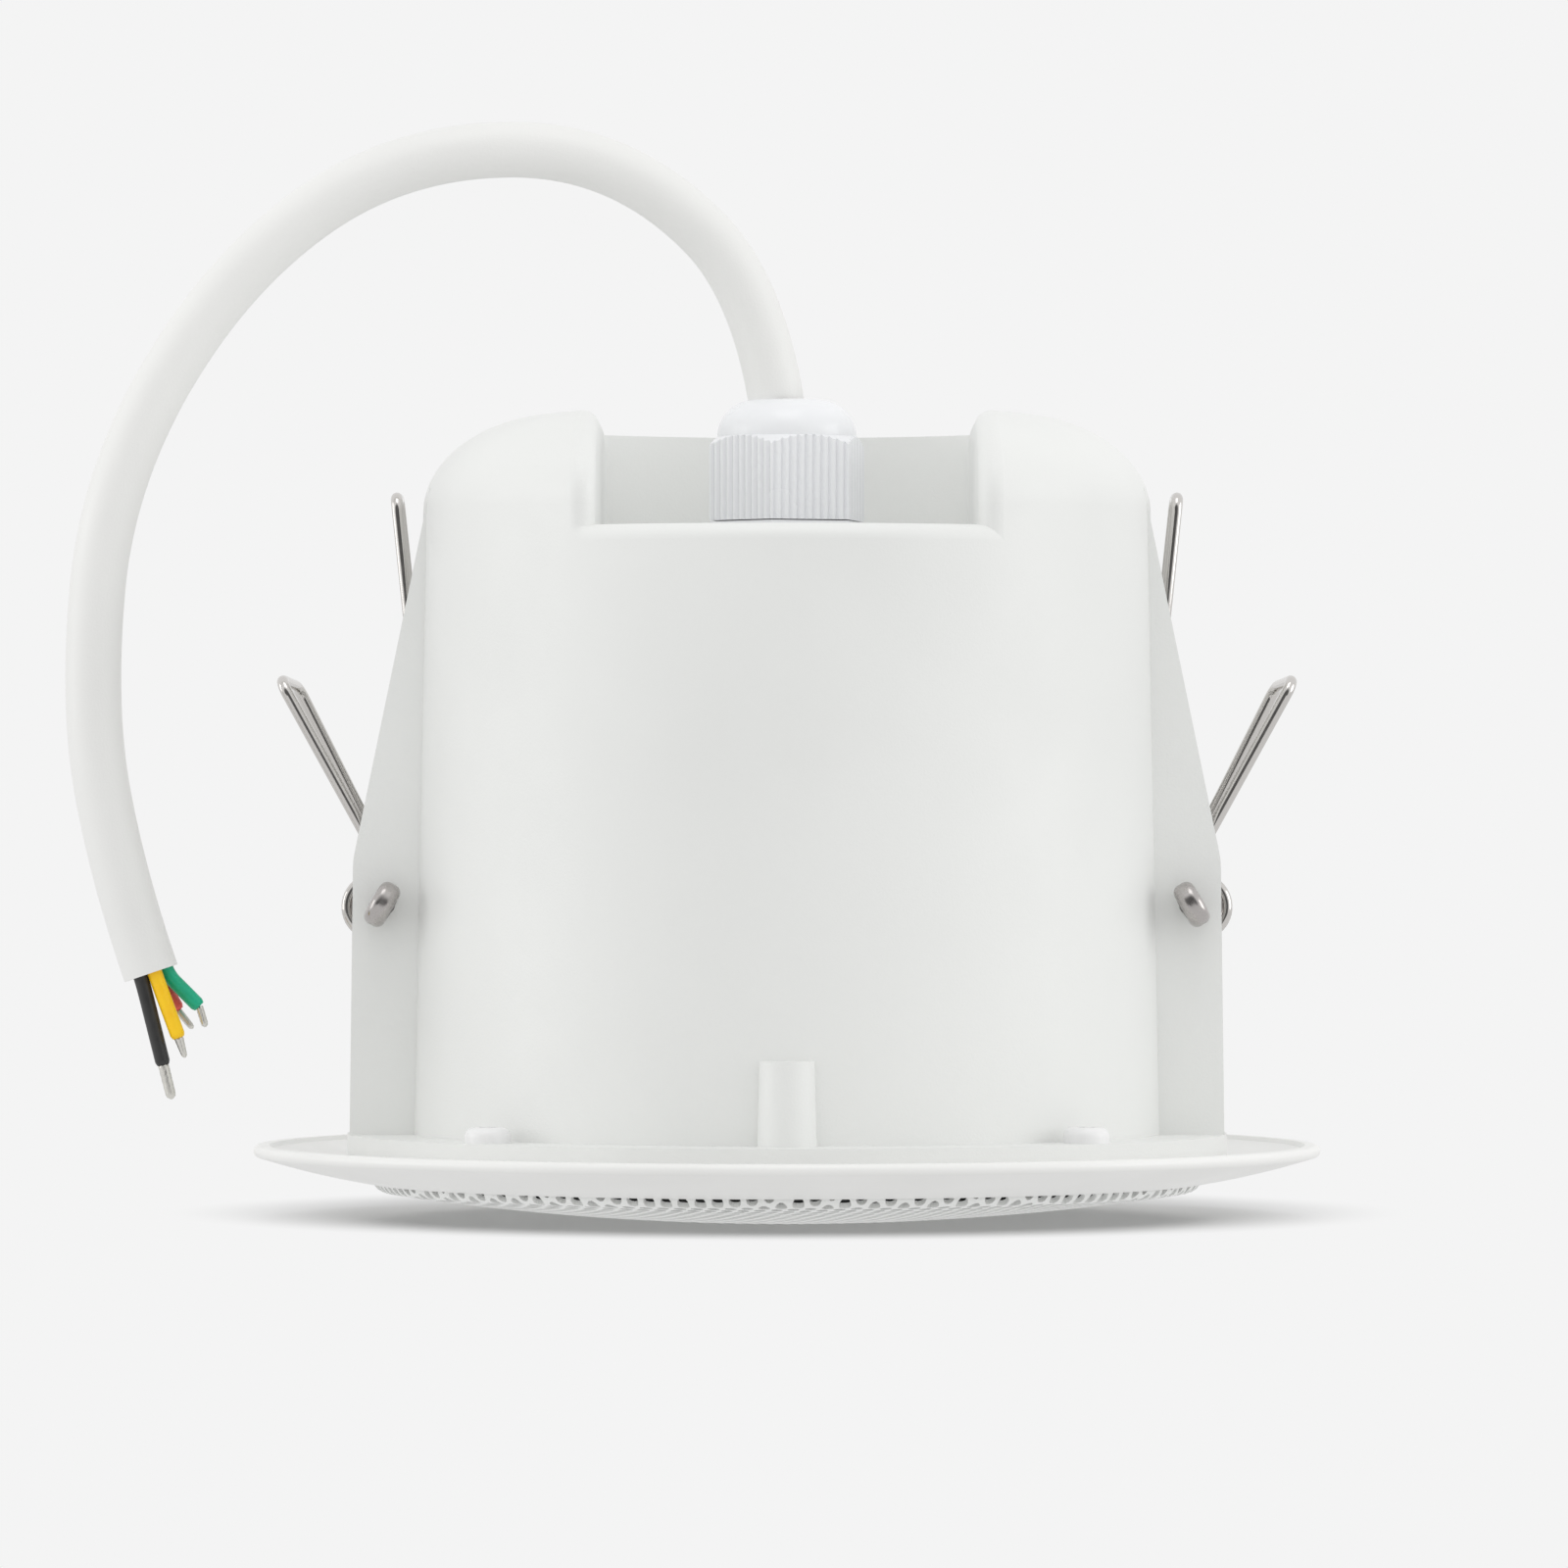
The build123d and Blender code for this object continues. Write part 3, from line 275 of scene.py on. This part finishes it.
MATERIALS = {
    "can_plastic": moulded("can_plastic", srgb(233, 234, 232), srgb(229, 230, 228), 0.42),
    "bezel_plastic": moulded("bezel_plastic", srgb(238, 238, 236), srgb(234, 234, 232), 0.36),
    "grille_paint": moulded("grille_paint", srgb(238, 239, 237), srgb(233, 234, 232), 0.4),
    "spring_wire": wire_metal("spring_wire", srgb(212, 209, 206), 0.12),
    "pin_steel": wire_metal("pin_steel", srgb(186, 182, 180), 0.24),
    "white_screw": moulded("white_screw", srgb(240, 240, 240), srgb(230, 230, 230), 0.3),
    "zinc_screw": wire_metal("zinc_screw", srgb(178, 178, 176), 0.35),
    "gland_nylon": moulded("gland_nylon", srgb(238, 239, 241), srgb(234, 235, 238), 0.2, grain=0.000004),
    "seal_rubber": rolled("seal_rubber", srgb(58, 58, 58), srgb(48, 48, 48), 0.7),
    "foam": rolled("foam", srgb(28, 28, 28), srgb(20, 20, 20), 0.9, scale=500),
    "cable_jacket": moulded("cable_jacket", srgb(234, 234, 232), srgb(230, 230, 228), 0.46),
    "core_black": insulation("core_black", srgb(50, 50, 50), srgb(42, 42, 42)),
    "core_yellow": insulation("core_yellow", srgb(255, 206, 0), srgb(252, 196, 0)),
    "core_red": insulation("core_red", srgb(246, 104, 98), srgb(236, 90, 86)),
    "core_green": insulation("core_green", srgb(0, 172, 132), srgb(0, 162, 120)),
    "tin": wire_metal("tin", srgb(222, 220, 214), 0.34),
    "basket_steel": rolled("basket_steel", srgb(52, 52, 54), srgb(42, 42, 44), 0.5),
    "magnet_ferrite": rolled("magnet_ferrite", srgb(60, 60, 62), srgb(46, 46, 48), 0.6),
    "zinc_plate": rolled("zinc_plate", srgb(190, 188, 178), srgb(172, 172, 168), 0.35, metallic=1.0),
    "cone_paper": rolled("cone_paper", srgb(48, 47, 46), srgb(36, 36, 36), 0.85, scale=700),
    "surround_rubber": rolled("surround_rubber", srgb(40, 40, 40), srgb(34, 34, 34), 0.6),
    "spider_cloth": rolled("spider_cloth", srgb(196, 160, 96), srgb(168, 130, 70), 0.9, scale=900),
    "coil_copper": rolled("coil_copper", srgb(196, 126, 84), srgb(170, 100, 60), 0.4, metallic=1.0),
    "strip_board": rolled("strip_board", srgb(150, 106, 62), srgb(128, 86, 48), 0.6),
    "lamination_steel": rolled(
        "lamination_steel", srgb(120, 120, 122), srgb(92, 92, 94), 0.45, metallic=1.0
    ),
    "bobbin_nylon": rolled("bobbin_nylon", srgb(218, 200, 140), srgb(200, 180, 120), 0.5),
    "lead_pvc": rolled("lead_pvc", srgb(120, 30, 30), srgb(100, 22, 22), 0.5),
}


def dress_solids():
    """Gives every solid the finish of its slot."""
    for row in frame["record"]["subparts"]:
        mesh = nodes[row["node"]].data
        mesh.materials.clear()
        mesh.materials.append(MATERIALS[row["material_slot"]])


def add_piece(name, data, slot, node=None):
    """A piece that rides on the housing, and the node that it stands for, where it stands for one."""
    piece = bpy.data.objects.new(name, data)
    bpy.context.scene.collection.objects.link(piece)
    data.materials.append(MATERIALS[slot])
    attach(piece, "housing")
    if node:
        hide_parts(node)
    return piece


# Stage, light and camera
def add_camera():
    data = bpy.data.cameras.new("camera")
    data.sensor_width = SENSOR
    data.lens = SENSOR * CAMERA_BACK / (PICTURE_PX * PIXEL)
    data.shift_x = (PICTURE_PX / 2 - LEVEL_PX[0]) / PICTURE_PX
    data.shift_y = (LEVEL_PX[1] - PICTURE_PX / 2) / PICTURE_PX
    camera = bpy.data.objects.new("camera", data)
    camera.location = (0, -CAMERA_BACK, CAMERA_HEIGHT)
    camera.rotation_euler = (math.pi / 2, 0, 0)
    bpy.context.scene.collection.objects.link(camera)
    bpy.context.scene.camera = camera


def add_softbox(name, azimuth, elevation, power):
    """A square lamp that faces the can."""
    turn, rise = math.radians(azimuth), math.radians(elevation)
    way = Vector((math.sin(turn) * math.cos(rise), -math.cos(turn) * math.cos(rise), math.sin(rise)))
    data = bpy.data.lights.new(name, "AREA")
    data.shape = "SQUARE"
    data.size = SOFTBOX_SIZE
    data.energy = power
    lamp = bpy.data.objects.new(name, data)
    lamp.location = Vector((0, 0, CAMERA_HEIGHT)) + way * SOFTBOX_DISTANCE
    lamp.rotation_euler = way.to_track_quat("Z", "Y").to_euler()
    bpy.context.scene.collection.objects.link(lamp)


def math_node(tree, operation, *terms):
    """Output of a math node whose terms are numbers or other nodes' outputs."""
    node = tree.nodes.new("ShaderNodeMath")
    node.operation = operation
    for socket, term in zip(node.inputs, terms):
        if isinstance(term, (int, float)):
            socket.default_value = term
        else:
            tree.links.new(term, socket)
    return node.outputs[0]


def smooth_step(tree, value, start, end):
    node = tree.nodes.new("ShaderNodeMapRange")
    node.interpolation_type = "SMOOTHSTEP"
    node.inputs["From Min"].default_value = start
    node.inputs["From Max"].default_value = end
    tree.links.new(value, node.inputs["Value"])
    return node.outputs["Result"]


def mix_shaders(tree, factor, first, second):
    mix = tree.nodes.new("ShaderNodeMixShader")
    tree.links.new(factor, mix.inputs["Fac"])
    tree.links.new(first, mix.inputs[1])
    tree.links.new(second, mix.inputs[2])
    return mix.outputs["Shader"]


def light_world():
    """Even light on the object, and a pale backdrop for the camera and for what metal and gloss mirror.

    What they mirror is darker on the unlit side of the studio, where the front of a wire looks.
    """
    world = bpy.data.worlds.new("studio")
    bpy.context.scene.world = world
    world.use_nodes = True
    tree = world.node_tree
    ambient = tree.nodes["Background"]
    ambient.inputs["Color"].default_value = (1, 1, 1, 1)
    ambient.inputs["Strength"].default_value = AMBIENT
    backdrop = tree.nodes.new("ShaderNodeBackground")
    backdrop.inputs["Color"].default_value = (*BACKDROP, 1)
    path = tree.nodes.new("ShaderNodeLightPath").outputs
    facing = tree.nodes.new("ShaderNodeVectorMath")
    facing.operation = "DOT_PRODUCT"
    facing.inputs[1].default_value = UNLIT_WAY
    tree.links.new(tree.nodes.new("ShaderNodeTexCoord").outputs["Generated"], facing.inputs[0])
    edges = (math.cos(math.radians(spread)) for spread in UNLIT_SPREAD)
    unlit = smooth_step(tree, facing.outputs["Value"], *edges)
    mirrored = math_node(tree, "MULTIPLY", unlit, path["Is Glossy Ray"])
    strength = math_node(tree, "MULTIPLY_ADD", mirrored, UNLIT_LEVEL - 1.0, 1.0)
    tree.links.new(strength, backdrop.inputs["Strength"])
    seen = math_node(tree, "MAXIMUM", path["Is Camera Ray"], path["Is Glossy Ray"])
    seen = math_node(tree, "MAXIMUM", seen, path["Is Transmission Ray"])
    shown = mix_shaders(tree, seen, ambient.outputs["Background"], backdrop.outputs["Background"])
    tree.links.new(shown, tree.nodes["World Output"].inputs["Surface"])


def floor_material():
    """A light table: it glows on the object from below. Near the object its lit colour is darker than the
    backdrop, a painted shadow under it and just behind, on top of the shadow that the light casts there.

    From underneath it is clear, so that the grille can be looked at.
    """
    material = bpy.data.materials.new("floor")
    material.use_nodes = True
    tree = material.node_tree
    lit = tree.nodes["Principled BSDF"]
    # Darker than the backdrop: painted shadow near the object
    lit.inputs["Base Color"].default_value = (*FLOOR_SHADOW_COLOUR, 1)
    lit.inputs["Roughness"].default_value = FLOOR_ROUGHNESS
    lit.inputs["Specular IOR Level"].default_value = 0.0
    plain = tree.nodes.new("ShaderNodeEmission")
    plain.inputs["Color"].default_value = (*BACKDROP, 1)
    reach = tree.nodes.new("ShaderNodeVectorMath")
    reach.operation = "LENGTH"
    tree.links.new(tree.nodes.new("ShaderNodeTexCoord").outputs["Object"], reach.inputs[0])
    far_off = smooth_step(tree, reach.outputs["Value"], SHADOW_FULL_R, SHADOW_END_R)
    near = math_node(tree, "SUBTRACT", 1.0, far_off)
    to_camera = tree.nodes.new("ShaderNodeLightPath").outputs["Is Camera Ray"]
    shaded = math_node(tree, "MULTIPLY", near, to_camera)
    glow = math_node(tree, "MULTIPLY_ADD", to_camera, 1.0 - FLOOR_GLOW, FLOOR_GLOW)
    tree.links.new(glow, plain.inputs["Strength"])
    shown = mix_shaders(tree, shaded, plain.outputs["Emission"], lit.outputs["BSDF"])
    underneath = tree.nodes.new("ShaderNodeNewGeometry").outputs["Backfacing"]
    clear = tree.nodes.new("ShaderNodeBsdfTransparent")
    shown = mix_shaders(tree, underneath, shown, clear.outputs["BSDF"])
    tree.links.new(shown, tree.nodes["Material Output"].inputs["Surface"])
    return material


def add_floor():
    mesh = bpy.data.meshes.new("floor")
    half = FLOOR_SIZE / 2
    corners = [(-half, -half, 0), (half, -half, 0), (half, half, 0), (-half, half, 0)]
    mesh.from_pydata(corners, [], [(0, 1, 2, 3)])
    mesh.materials.append(floor_material())
    floor = bpy.data.objects.new("floor", mesh)
    floor.location = (0, SHADOW_BACK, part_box("grille")[0].z)
    bpy.context.scene.collection.objects.link(floor)


# Cable and the cut end
def new_curve(name, radius, round_steps):
    data = bpy.data.curves.new(name, "CURVE")
    data.dimensions = "3D"
    data.bevel_depth = radius
    data.bevel_resolution = round_steps
    data.use_fill_caps = True
    return data


def add_spline(data, kind, route):
    """One open spline with the points of a route."""
    spline = data.splines.new(kind)
    spline.points.add(len(route) - 1)
    for point, place in zip(spline.points, route):
        point.co = (*place, 1)
    if kind == "NURBS":
        spline.order_u = 3
        spline.use_endpoint_u = True
    return spline


def add_cable():
    data = new_curve("cable_run", CABLE_D / 2, CABLE_ROUND_STEPS)
    data.resolution_u = CABLE_RUN_STEPS
    add_spline(data, "NURBS", CABLE_ROUTE)
    return add_piece("cable_run", data, "cable_jacket", "cable")


def cut_frame():
    """Middle of the cable's cut face and its axes: to the right, towards the viewer, along the cable."""
    before, end = (Vector(place) for place in CABLE_ROUTE[-2:])
    along = (end - before).normalized()
    across = Vector((-along.z, 0, along.x))
    return end, across, along.cross(across), along


def core_line(place, fan, length):
    """A core's start in the cut face, the bend where it leaves it, its end and the way it points there."""
    origin, across, front, along = cut_frame()
    turn, lean = math.radians(place), math.radians(fan)
    start = origin + CORE_RING_R * (math.cos(turn) * across + math.sin(turn) * front)
    way = math.sin(lean) * across + math.cos(lean) * along
    bend = start + CORE_LEAD_IN * along
    return start - CORE_TUCK * along, bend, bend + (length - CORE_LEAD_IN) * way, way


def add_core(name, place, fan, length):
    """One insulated core, with the edge of its cut a little rounded."""
    start, bend, end, way = core_line(place, fan, length)
    data = new_curve("core_sleeve_" + name, CORE_D / 2, CORE_ROUND_STEPS)
    data.resolution_u = CORE_RUN_STEPS
    cut = [end - back * CORE_CUT_ROUND * way for back in (2, 1, 0)]
    spline = add_spline(data, "NURBS", [start, bend, bend.lerp(end, CORE_MIDWAY), *cut])
    spline.points[-1].radius = CORE_CUT_SHARE
    return add_piece("core_sleeve_" + name, data, "core_" + name, "core_" + name)


def strand_rings(length, foot_r, tip_r):
    """Rings of a twisted, tinned strand bundle with a rounded tip, along +Z."""
    rings = []
    for i in range(STRAND_RINGS + 1):
        t = i / STRAND_RINGS
        taper = foot_r + (tip_r - foot_r) * t
        into_tip = max(0.0, (t - TIP_FROM) / (1 - TIP_FROM))
        radius = taper * (TIP_END + (1 - TIP_END) * math.sqrt(max(0.0, 1 - into_tip**2)))
        twist = 2 * math.pi * STRAND_TURNS * t
        ring = []
        for j in range(STRAND_SIDES):
            angle = 2 * math.pi * j / STRAND_SIDES
            swell = abs(math.cos(STRANDS * (angle - twist) / 2)) - STRAND_MEAN
            reach = radius * (1 + STRAND_RELIEF * swell)
            ring.append(Vector((reach * math.cos(angle), reach * math.sin(angle), length * t)))
        rings.append(ring)
    return rings


def add_tinned_ends():
    mesh = bpy.data.meshes.new("tinned_strands")
    builder = bmesh.new()
    front = cut_frame()[2]
    for name, place, fan, length in CORES:
        end, way = core_line(place, fan, length)[2:]
        tin_length, foot_r, tip_r, bend = TINNED[name]
        way = Matrix.Rotation(math.radians(bend), 3, front) @ way
        turn = way.to_track_quat("Z", "Y").to_matrix()
        rings = []
        for ring in strand_rings(tin_length, foot_r, tip_r):
            rings.append([builder.verts.new(end + turn @ point) for point in ring])
        for low, high in zip(rings, rings[1:]):
            for j, vertex in enumerate(low):
                k = (j + 1) % len(low)
                builder.faces.new((vertex, low[k], high[k], high[j]))
        builder.faces.new(list(reversed(rings[0])))
        builder.faces.new(rings[-1])
    for face in builder.faces:
        face.smooth = True
    builder.to_mesh(mesh)
    builder.free()
    return add_piece("tinned_strands", mesh, "tin", "tinned_ends")


# Grille
def grille_profile(depth=0.0):
    """Profile of the pressed sheet at a depth behind its face, from the middle outwards.

    It comes as points (radius, height) and their distances along it.
    """
    slope = GRILLE_R - GRILLE_EDGE_R
    dome_mid = -GRILLE_DOME_H + GRILLE_DOME_R
    edge_mid_z = dome_mid - math.sqrt((GRILLE_DOME_R - GRILLE_EDGE_R) ** 2 - slope**2)
    meet = math.asin(slope / (GRILLE_DOME_R - GRILLE_EDGE_R))
    dome_r, edge_r = GRILLE_DOME_R - depth, GRILLE_EDGE_R - depth
    points = []
    for i in range(DOME_STEPS + 1):
        turn = meet * i / DOME_STEPS
        points.append((dome_r * math.sin(turn), dome_mid - dome_r * math.cos(turn)))
    for i in range(1, EDGE_STEPS + 1):
        turn = meet + (math.pi / 2 - meet) * i / EDGE_STEPS
        points.append((slope + edge_r * math.sin(turn), edge_mid_z - edge_r * math.cos(turn)))
    points.append((GRILLE_R - depth, GRILLE_WALL_TOP))
    distances = [0.0]
    for before, after in zip(points, points[1:]):
        distances.append(distances[-1] + math.dist(before, after))
    return points, distances


def on_profile(points, distances, distance):
    """Radius and height at a distance along the profile."""
    i = 1
    while i < len(distances) - 1 and distances[i] < distance:
        i += 1
    share = (distance - distances[i - 1]) / (distances[i] - distances[i - 1])
    (r0, z0), (r1, z1) = points[i - 1], points[i]
    return r0 + (r1 - r0) * share, z0 + (z1 - z0) * share


def drawn(distance):
    """Distance along the pressed sheet of a point on the flat one, drawn out near the edge."""
    return distance + (DRAWN_OUT - 1) * max(0.0, distance - DRAWN_FROM)


def sheet_cells(reach):
    """Middles of the six-sided cells of the flat sheet, out to a distance from its own middle."""
    row_pitch = HOLE_PITCH * math.sqrt(3) / 2
    rows = int(reach / row_pitch) + 1
    for row in range(-rows, rows + 1):
        for column in range(-rows - 1, rows + 2):
            middle = Vector(((column + 0.5 * (row % 2)) * HOLE_PITCH, row * row_pitch))
            if middle.length < reach:
                yield middle


def cell_rims(middle):
    """A cell's six-sided outline and its hole, point for point. Holes near the edge are longer outwards."""
    outwards = middle.normalized()
    stretch = EDGE_HOLE_STRETCH if middle.length > DRAWN_FROM else 1.0
    corners, hole = [], []
    for k in range(CELL_SIDES):
        turn = 2 * math.pi * (k + 1) / CELL_SIDES
        way = Vector((math.cos(turn), math.sin(turn)))
        reach = HOLE_PITCH / 2 if k % 2 else HOLE_PITCH / math.sqrt(3)
        corners.append(middle + reach * way)
        hole.append(middle + HOLE_R * (way + (stretch - 1) * way.dot(outwards) * outwards))
    return corners, hole


def add_grille():
    """Perforated sheet, cut off at the top of its wall through the holes that lie there."""
    points, distances = grille_profile()
    reach = DRAWN_FROM + (distances[-1] - DRAWN_FROM) / DRAWN_OUT
    turned = Matrix.Rotation(math.radians(ROWS_TURNED), 2)
    builder = bmesh.new()

    def placed(point):
        radius, height = on_profile(points, distances, min(drawn(point.length), distances[-1]))
        x, y = turned @ point.normalized() * radius
        return builder.verts.new((x, y, height))

    for middle in sheet_cells(reach + HOLE_R):
        corners, hole = cell_rims(middle)
        outer, inner = ([placed(point) for point in rim] for rim in (corners, hole))
        for k in range(CELL_SIDES):
            after = (k + 1) % CELL_SIDES
            nearest = min(point.length for point in (corners[k], corners[after], hole[k], hole[after]))
            if nearest < reach:
                builder.faces.new((outer[after], outer[k], inner[k], inner[after]))
    bmesh.ops.remove_doubles(builder, verts=builder.verts, dist=WELD_DISTANCE)
    loose = [vertex for vertex in builder.verts if not vertex.link_faces]
    bmesh.ops.delete(builder, geom=loose, context="VERTS")
    mesh = bpy.data.meshes.new("perforated_grille")
    builder.to_mesh(mesh)
    builder.free()
    piece = add_piece("perforated_grille", mesh, "grille_paint", "grille")
    sheet = piece.modifiers.new("sheet", "SOLIDIFY")
    sheet.thickness = GRILLE_SHEET_T
    sheet.offset = -1
    return piece


def add_grille_shade_sheet(grille):
    """Black sheet bonded to the inside of the grille, out to where its edge turns up: painted shade, so
    that its holes look dark.
    """
    points, distances = grille_profile(GRILLE_SHEET_T + SHADE_SHEET_T)
    last = len(points) - SHADE_SHEET_LEAVES_OUT
    builder = bmesh.new()
    line = [builder.verts.new((radius, 0, height)) for radius, height in points[:last]]
    runs = [builder.edges.new(pair) for pair in zip(line, line[1:])]
    bmesh.ops.spin(
        builder, geom=line + runs, axis=(0, 0, 1), cent=(0, 0, 0), angle=2 * math.pi, steps=SHADE_SHEET_STEPS
    )
    bmesh.ops.remove_doubles(builder, verts=builder.verts, dist=WELD_DISTANCE)
    bmesh.ops.recalc_face_normals(builder, faces=builder.faces)
    mesh = bpy.data.meshes.new("grille_shade_sheet")
    builder.to_mesh(mesh)
    builder.free()
    # Black foam finish: the painted shade seen through the grille's holes
    piece = add_piece("grille_shade_sheet", mesh, "foam")
    piece.modifiers.new("shade_sheet", "SOLIDIFY").thickness = SHADE_SHEET_T


# Clip springs
def tangent_angle(target):
    """Angle round the coil where a straight leg from a point above meets its inboard side."""
    dx, dz = COIL_X - target[0], target[1] - COIL_Z
    lean = math.asin(COIL_R / math.hypot(dx, dz)) - math.atan2(dx, dz)
    return math.pi - lean


def rounded(corner, before, after, reach):
    """Points of a soft bend at a corner between two runs."""
    start = corner + (before - corner).normalized() * reach
    end = corner + (after - corner).normalized() * reach
    bend = []
    for i in range(BEND_STEPS + 1):
        t = i / BEND_STEPS
        bend.append((1 - t) ** 2 * start + 2 * t * (1 - t) * corner + t**2 * end)
    return bend


def half_spring(side):
    """Wire of one half of a spring, from the free end of its turns to the bend at the bail's tip."""
    angle = tangent_angle(BAIL_KINK)
    points = []
    for i in range(COIL_STEPS + 1):
        turned = HALF_COIL_TURNS * (1 - i / COIL_STEPS)
        turn = angle + 2 * math.pi * turned
        x, z = COIL_X + COIL_R * math.cos(turn), COIL_Z + COIL_R * math.sin(turn)
        points.append(Vector((x, side * (COIL_LEG_Y - COIL_PITCH * turned), z)))
    foot = points[-1]
    kink = Vector((BAIL_KINK[0], side * COIL_LEG_Y, BAIL_KINK[1]))
    tip = Vector((BAIL_TIP[0], side * COIL_LEG_Y, BAIL_TIP[1]))
    middle = Vector((BAIL_TIP[0], 0, BAIL_TIP[1]))
    points += rounded(kink, foot, tip, BAIL_KINK_REACH)
    points += rounded(tip, kink, middle, BAIL_TIP_REACH)
    return points


def add_spring(name, hand):
    """The fixed part of a clip as one wire, from one half's turns over the bail to the other half's."""
    route = half_spring(-1) + half_spring(1)[::-1]
    data = new_curve("spring_wire_" + name, WIRE_R, WIRE_ROUND_STEPS)
    add_spline(data, "POLY", [(hand * place.x, place.y, place.z) for place in route])
    return add_piece("spring_wire_" + name, data, "spring_wire", "clip_spring_" + name)


dress_solids()
add_camera()
light_world()
for lamp_row in SOFTBOXES:
    add_softbox(*lamp_row)
add_floor()
cable = add_cable()
cores = [add_core(*row) for row in CORES]
tinned = add_tinned_ends()
add_grille_shade_sheet(add_grille())
for clip, hand in (("right", 1), ("left", -1)):
    add_spring(clip, hand)

scene = bpy.context.scene
scene.view_settings.view_transform = "Standard"
